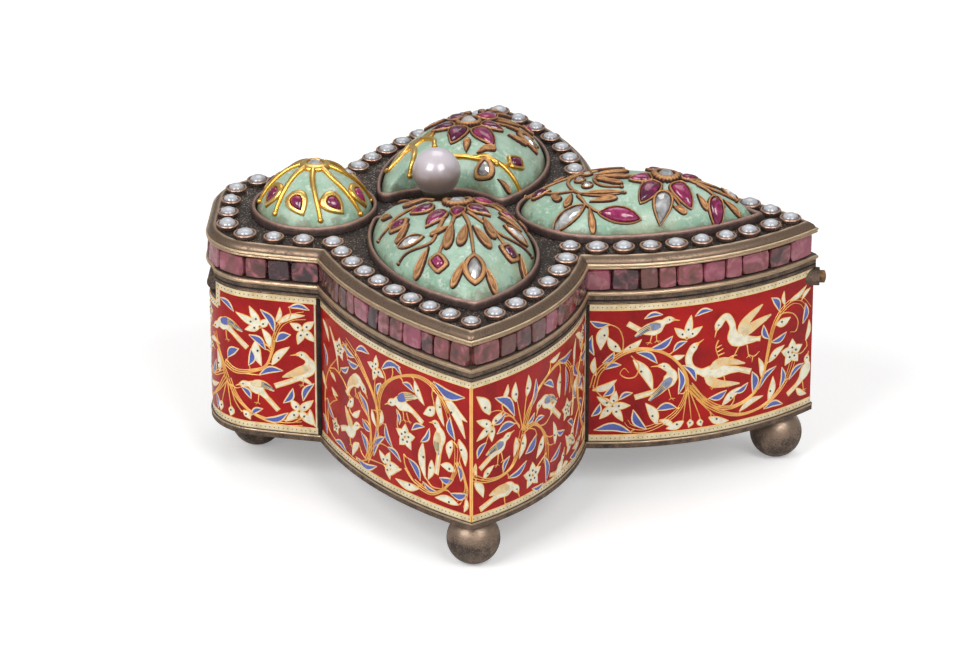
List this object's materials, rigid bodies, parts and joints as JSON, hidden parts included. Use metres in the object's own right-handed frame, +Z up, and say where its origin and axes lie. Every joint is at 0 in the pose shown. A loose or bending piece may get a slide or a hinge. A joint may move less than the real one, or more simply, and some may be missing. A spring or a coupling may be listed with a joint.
{
  "type": "paan box",
  "caption": "Lobed enamelled metal casket on ball feet, with a hinged lid set with stone domes, gems and pearls and a push-button catch.",
  "frame": {"origin": "on the table, under the middle of the box's overall length and width", "axes": "+X towards the pointed tail lobe and its push button, +Y to the back wing, +Z up through the lid"},
  "size_m": [0.1264, 0.117, 0.0673],
  "materials": {
    "tarnished_silver": "silver gilt worn brown, grime in the recesses",
    "silver_gilt": "pale worn gilding",
    "dark_silver": "dark brushed silver",
    "steel_wire": "drawn wire",
    "brass_button": "handled brass",
    "red_enamel": "glossy enamel over silver",
    "garnet": "foiled cushion-cut stones",
    "jade": "polished pale green stone",
    "half_pearl": "pearl",
    "grey_pearl": "grey pearl"
  },
  "bodies": {
    "body": {"base_plate": "tarnished_silver", "body_rim": "tarnished_silver", "wall_head": "silver_gilt", "wall_front": "silver_gilt", "wall_tail": "silver_gilt", "wall_back": "silver_gilt", "button_bush": "silver_gilt", "ball_feet": "dark_silver", "hinge_leaf_body": "dark_silver", "hinge_pin": "steel_wire", "latch_spring": "steel_wire", "spring_seat": "steel_wire", "enamel_head": "red_enamel", "enamel_front": "red_enamel", "enamel_tail": "red_enamel", "enamel_back": "red_enamel"},
    "button": {"push_button": "brass_button"},
    "lid": {"lid_band": "silver_gilt", "lid_plate": "tarnished_silver", "lid_liner": "silver_gilt", "lid_catch": "silver_gilt", "hinge_leaf_lid": "dark_silver", "gems_head": "garnet", "gems_front": "garnet", "gems_tail": "garnet", "gems_back": "garnet", "dome_bezels": "tarnished_silver", "dome_head": "jade", "dome_front": "jade", "dome_tail": "jade", "dome_back": "jade", "border_pearls": "half_pearl", "pearl_cup": "tarnished_silver", "pearl_peg": "steel_wire", "centre_pearl": "grey_pearl"}
  },
  "joints": [
    {"name": "lid_hinge", "type": "hinge", "parent": "body", "child": "lid", "pos_m": [-0.06145, 0, 0.0421], "axis": [0, -1, 0], "range_deg": [0, 105]},
    {"name": "button_press", "type": "slide", "parent": "body", "child": "button", "axis": [-1, 0, 0], "range_m": [0, 0.0012], "stiffness_N_per_m": 900, "springref_m": -0.0006, "deforming": ["latch_spring"]}
  ]
}
